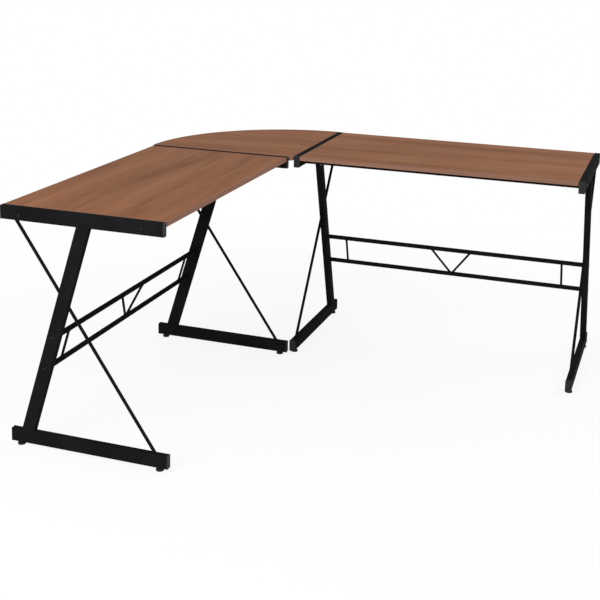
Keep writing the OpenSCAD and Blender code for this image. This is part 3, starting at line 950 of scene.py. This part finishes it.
class DESK_OT_stretchers(bpy.types.Operator):
    """Finishes the round tubes and the thin rods between each wing's legs, and adds their welds"""

    bl_idname = "desk.stretchers"
    bl_label = "Stretchers"

    def execute(self, context):
        settings = context.scene.desk_steel
        coat = made_once(powder_finish, settings)
        for side in SIDES:
            for level in ("upper", "lower"):
                refinish(f"stretcher_{level}_{side}", coat)
            refinish(f"stretcher_rods_{side}", coat)
            make_piece(f"stretcher_welds_{side}", truss_welds(settings), (coat,), side=side)
        refinish("stretcher_plugs", made_once(zinc_finish, context.scene.desk_fasteners))
        return {"FINISHED"}


# ---- Fasteners ----

def head_height():
    """How far the bolts' heads stand out of the tube that they hold."""
    outermost = max(box[1].x for box in right_solids("leg_bolts"))
    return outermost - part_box("leg_right_outer")[1].x


def button_bolt(bm, settings, place, radius, head, length):
    """A button-head bolt along Z, its hexagon socket downwards and the head's underside at the origin.

    The head is a dome on a low rim. Its socket is a little wider at the mouth, where the dome is cut off."""
    rim, soft = HEAD_RIM * head, HEAD_ROUNDING * head
    dome = (radius ** 2 + (head - rim) ** 2) / (2 * (head - rim))
    key, shank = settings.key / 2, settings.bolt / 2
    mouth, edge = math.asin(SOCKET_MOUTH * key / dome), math.asin(radius / dome)
    turned = [(dome * math.sin(angle), dome - head - dome * math.cos(angle))
              for angle in (mouth + (edge - mouth) * step / 7 for step in range(8))]
    top = turned[0][1]
    rings = [(SOCKET_WALL * key, -head / 3, hexagon), (SOCKET_WALL * key, top + 2 * soft, hexagon),
             (SOCKET_CHAMFER * key, top + soft / 2, hexagon), *turned,
             (radius, -soft), (radius - soft, 0), (shank, 0),
             *ridges(shank, 0, length - settings.fine_pitch / 2, settings.fine_pitch),
             (shank - settings.fine_pitch / 2, length)]
    lathe(bm, rings, steps=48, place=place)


def wood_screw(bm, settings, place, radius, head, length):
    """A pan-head wood screw along Z, its cross recess downwards and the head's underside at the origin."""
    shank = settings.screw / 2
    tip = length - 2.2 * shank
    rings = [*((reach * radius, -height * head, cross) for reach, height in RECESS),
             *((reach * radius, -height * head) for reach, height in PAN_HEAD), (0.8 * shank, 0),
             *ridges(shank, 0.1 * tip, tip, settings.coarse_pitch), (0.1 * shank, length)]
    lathe(bm, rings, steps=32, place=place)


def rail_and_leg_bolts(settings, node):
    """A node's bolts in the right wing, all pointing towards the wing's middle, and their left twins."""
    bar_lo, bar_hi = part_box("bar_right_front")
    middle = (bar_lo.x + bar_hi.x) / 2
    head = head_height()
    bm = bmesh.new()
    for lo, hi in right_solids(node):
        towards = 1 if lo.x < middle else -1
        face = lo.x + head if towards > 0 else hi.x - head
        place = (Matrix.Translation((face, (lo.y + hi.y) / 2, (lo.z + hi.z) / 2))
                 @ Matrix.Rotation(towards * math.pi / 2, 4, "Y"))
        button_bolt(bm, settings, place, (hi.y - lo.y) / 2, head, hi.x - lo.x - head)
    add_left_twin(bm)
    return bm


def board_screws(settings, node):
    """A node's screws in the right wing, which go up into the boards, and their left twins."""
    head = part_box("bar_right_front")[0].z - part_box("bar_screws")[0].z
    bm = bmesh.new()
    for lo, hi in right_solids(node):
        place = Matrix.Translation(((lo.x + hi.x) / 2, (lo.y + hi.y) / 2, lo.z + head))
        wood_screw(bm, settings, place, (hi.x - lo.x) / 2, head, hi.z - lo.z - head)
    add_left_twin(bm)
    return bm


class DESK_OT_fasteners(bpy.types.Operator):
    """Builds the bolts of the frames and the wood screws of the boards"""

    bl_idname = "desk.fasteners"
    bl_label = "Bolts and screws"

    def execute(self, context):
        settings = context.scene.desk_fasteners
        oxide, zinc = made_once(oxide_finish, settings), made_once(zinc_finish, settings)
        for node in ("rail_bolts", "leg_bolts"):
            make_piece(f"button_{node}", rail_and_leg_bolts(settings, node), (oxide,),
                       replaces=(node,))
        for node in ("bar_screws", "bracket_screws"):
            make_piece(f"pan_{node}", board_screws(settings, node), (zinc,),
                       replaces=(node,))
        return {"FINISHED"}


# ---- Levelling feet ----

def foot_pad(settings, pad, stud):
    """A moulded pad: a fluted disc with a hollow underside, and a hexagon that holds the stud.

    Every edge is rounded by about the length called soft."""
    lo, hi = pad
    radius, top = (hi.x - lo.x) / 2, hi.z - lo.z
    bore, floor = (stud[1].x - stud[0].x) / 2, stud[0].z - lo.z
    flat, disc = settings.hexagon / 2, settings.disc
    soft = 0.1 * disc
    grip = scalloped(settings.flutes)
    rings = [(bore, floor), (bore, top - soft), (bore + soft / 2, top),
             (0.96 * flat, top), (flat, top - soft, hexagon), (flat, disc + soft, hexagon),
             (flat + soft, disc, hexagon), (radius - 3 * soft, disc),
             (radius - 1.2 * soft, disc - 0.4 * soft),
             (radius - 0.3 * soft, disc - 1.4 * soft, grip), (radius, disc - 2.4 * soft, grip),
             (radius, 2.4 * soft, grip), (radius - 0.3 * soft, 1.4 * soft, grip),
             (radius - 1.2 * soft, 0.4 * soft), (radius - 2.5 * soft, 0), (radius - 5 * soft, 0),
             (radius - 6 * soft, 1.2 * soft)]
    bm = bmesh.new()
    base = Vector(((lo.x + hi.x) / 2, (lo.y + hi.y) / 2, lo.z))
    lathe(bm, rings, steps=8 * settings.flutes, place=Matrix.Translation(base))
    return bm


def threaded_stud(settings, lo, hi):
    """A stud whose thread winds up it as one helix."""
    radius, pitch, steps = (hi.x - lo.x) / 2, settings.fine_pitch, 32
    root = radius - THREAD_DEPTH * pitch
    corners = ((root, 0), (radius, CREST_START * pitch), (radius, CREST_END * pitch), (root, pitch))
    turn = bmesh.new()
    groove = [turn.verts.new((reach, 0, height)) for reach, height in corners]
    edges = [turn.edges.new(pair) for pair in zip(groove, groove[1:])]
    bmesh.ops.spin(turn, geom=[*groove, *edges], cent=(0, 0, 0), axis=(0, 0, 1), angle=2 * math.pi,
                   dvec=(0, 0, pitch / steps), steps=steps, use_duplicate=False)
    bm = bmesh.new()
    base = Vector(((lo.x + hi.x) / 2, (lo.y + hi.y) / 2, lo.z))
    for number in range(-1, math.ceil((hi.z - lo.z) / pitch) + 1):
        join(bm, turn.copy(), Matrix.Translation(base + Vector((0, 0, number * pitch))))
    turn.free()
    bmesh.ops.remove_doubles(bm, verts=bm.verts, dist=pitch / 100)
    for place, outward in ((lo, -1), (hi, 1)):
        bmesh.ops.bisect_plane(bm, geom=[*bm.verts, *bm.edges, *bm.faces], dist=pitch / 1000,
                               plane_co=place, plane_no=(0, 0, outward), clear_outer=True)
    close_ends(bm)
    bmesh.ops.recalc_face_normals(bm, faces=bm.faces)
    return bm


class DESK_OT_feet(bpy.types.Operator):
    """Builds the pads and threaded studs of the levelling feet"""

    bl_idname = "desk.feet"
    bl_label = "Levelling feet"

    def execute(self, context):
        settings = context.scene.desk_plastic
        fasteners = context.scene.desk_fasteners
        plastic = plastic_finish("foot_plastic", settings.foot)
        zinc = made_once(zinc_finish, fasteners)
        for name in FRAMES:
            for end in ENDS:
                foot = f"{name}_{end}"
                pad, stud = right_box(f"foot_pad_{foot}"), right_box(f"foot_stud_{foot}")
                side = wing_of(name)
                make_piece(f"pad_{foot}", foot_pad(settings, pad, stud), (plastic,),
                           body=f"foot_{foot}", side=side, replaces=(f"foot_pad_{foot}",))
                make_piece(f"stud_{foot}", threaded_stud(fasteners, *stud), (zinc,),
                           body=f"foot_{foot}", side=side, replaces=(f"foot_stud_{foot}",))
        refinish("foot_inserts", made_once(oxide_finish, fasteners))
        return {"FINISHED"}


# ---- Studio ----

def floor_material(settings):
    """Pale floor that holds the desk's soft shadow, and fades to plain white away from it."""
    finish = Finish("studio_floor")
    plain = finish.add("ShaderNodeBsdfDiffuse", None, {"Color": opaque(settings.floor)})
    white = finish.add("ShaderNodeEmission", None, {"Color": (1, 1, 1, 1), "Strength": 1.0})
    distance = finish.add("ShaderNodeVectorMath", {"operation": "LENGTH"}, {0: finish.place})
    away = Number(finish, distance.outputs["Value"]).ramp(settings.fade_start, settings.fade_end)
    share = finish.seen_directly() * (away * (1 - settings.white_share) + settings.white_share)
    mixed = finish.add("ShaderNodeMixShader", None, {0: share, 1: plain.outputs[0], 2: white.outputs[0]})
    finish.add("ShaderNodeOutputMaterial", None, {"Surface": mixed.outputs[0]})
    return finish.material


def light_world(settings):
    """Even light all round, which the camera sees as plain white."""
    world = bpy.data.worlds.new("studio_world")
    nodes = Nodes(world)
    seen = nodes.seen_directly()
    strength = seen * (1 - settings.sky_strength) + settings.sky_strength
    background = nodes.add("ShaderNodeBackground", None, {"Color": (1, 1, 1, 1), "Strength": strength})
    nodes.add("ShaderNodeOutputWorld", None, {"Surface": background.outputs[0]})
    bpy.context.scene.world = world


def add_floor(settings):
    """The stage's flat floor at the height of the feet."""
    bm = bmesh.new()
    bmesh.ops.create_grid(bm, x_segments=1, y_segments=1, size=settings.floor_reach)
    mesh = bpy.data.meshes.new("floor")
    bm.to_mesh(mesh)
    bm.free()
    mesh.materials.append(floor_material(settings))
    floor = bpy.data.objects.new("floor", mesh)
    bpy.context.scene.collection.objects.link(floor)
    floor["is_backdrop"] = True


def add_lamp(name, power, size, place, target):
    """A square lamp that faces the target."""
    lamp = bpy.data.lights.new(name, "AREA")
    lamp.energy = power
    lamp.size = size
    holder = bpy.data.objects.new(name, lamp)
    holder.location = place
    holder.rotation_euler = (target - place).to_track_quat("-Z", "Y").to_euler()
    bpy.context.scene.collection.objects.link(holder)


def add_camera(settings):
    """The camera, turned by its yaw, tilted by its pitch and then rolled."""
    camera = bpy.data.cameras.new("camera")
    camera.lens = settings.lens
    camera.shift_x, camera.shift_y = settings.shift
    holder = bpy.data.objects.new("camera", camera)
    holder.matrix_world = (
        Matrix.Translation(settings.camera_place)
        @ Matrix.Rotation(settings.camera_yaw, 4, "Z")
        @ Matrix.Rotation(math.pi / 2 + settings.camera_pitch, 4, "X")
        @ Matrix.Rotation(settings.camera_roll, 4, "Z")
    )
    bpy.context.scene.collection.objects.link(holder)
    bpy.context.scene.camera = holder


class DESK_OT_studio(bpy.types.Operator):
    """Builds the floor, the lamps and the camera"""

    bl_idname = "desk.studio"
    bl_label = "Studio"

    def execute(self, context):
        settings = context.scene.desk_studio
        add_floor(settings)
        light_world(settings)
        lo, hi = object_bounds()
        target = (lo + hi) / 2
        add_lamp("key_lamp", settings.key_power, settings.key_size, settings.key_place, target)
        add_lamp("fill_lamp", settings.fill_power, settings.fill_size, settings.fill_place, target)
        add_camera(settings)
        context.scene.view_settings.view_transform = "Standard"
        return {"FINISHED"}


# ---- Add-on ----

OPERATORS = (
    DESK_OT_boards,
    DESK_OT_frames,
    DESK_OT_end_caps,
    DESK_OT_supports,
    DESK_OT_stretchers,
    DESK_OT_fasteners,
    DESK_OT_feet,
    DESK_OT_studio,
)


class DESK_PT_desk(bpy.types.Panel):
    """Lists what builds the desk"""

    bl_label = "Corner desk"
    bl_space_type = "VIEW_3D"
    bl_region_type = "UI"
    bl_category = "Desk"

    def draw(self, context):
        for operator in OPERATORS:
            self.layout.operator(operator.bl_idname)


def register():
    """Adds the settings, the operators and the panel."""
    for name, settings in SETTINGS.items():
        bpy.utils.register_class(settings)
        setattr(bpy.types.Scene, name, bpy.props.PointerProperty(type=settings))
    for cls in (*OPERATORS, DESK_PT_desk):
        bpy.utils.register_class(cls)


def unregister():
    """Takes away what register adds."""
    for cls in (DESK_PT_desk, *reversed(OPERATORS)):
        bpy.utils.unregister_class(cls)
    for name, settings in reversed(SETTINGS.items()):
        delattr(bpy.types.Scene, name)
        bpy.utils.unregister_class(settings)


def main():
    """Builds every piece and the studio."""
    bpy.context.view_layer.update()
    register()
    bpy.ops.desk.boards()
    bpy.ops.desk.frames()
    bpy.ops.desk.end_caps()
    bpy.ops.desk.supports()
    bpy.ops.desk.stretchers()
    bpy.ops.desk.fasteners()
    bpy.ops.desk.feet()
    bpy.ops.desk.studio()
    bpy.context.view_layer.update()


if __name__ == "__main__":
    main()
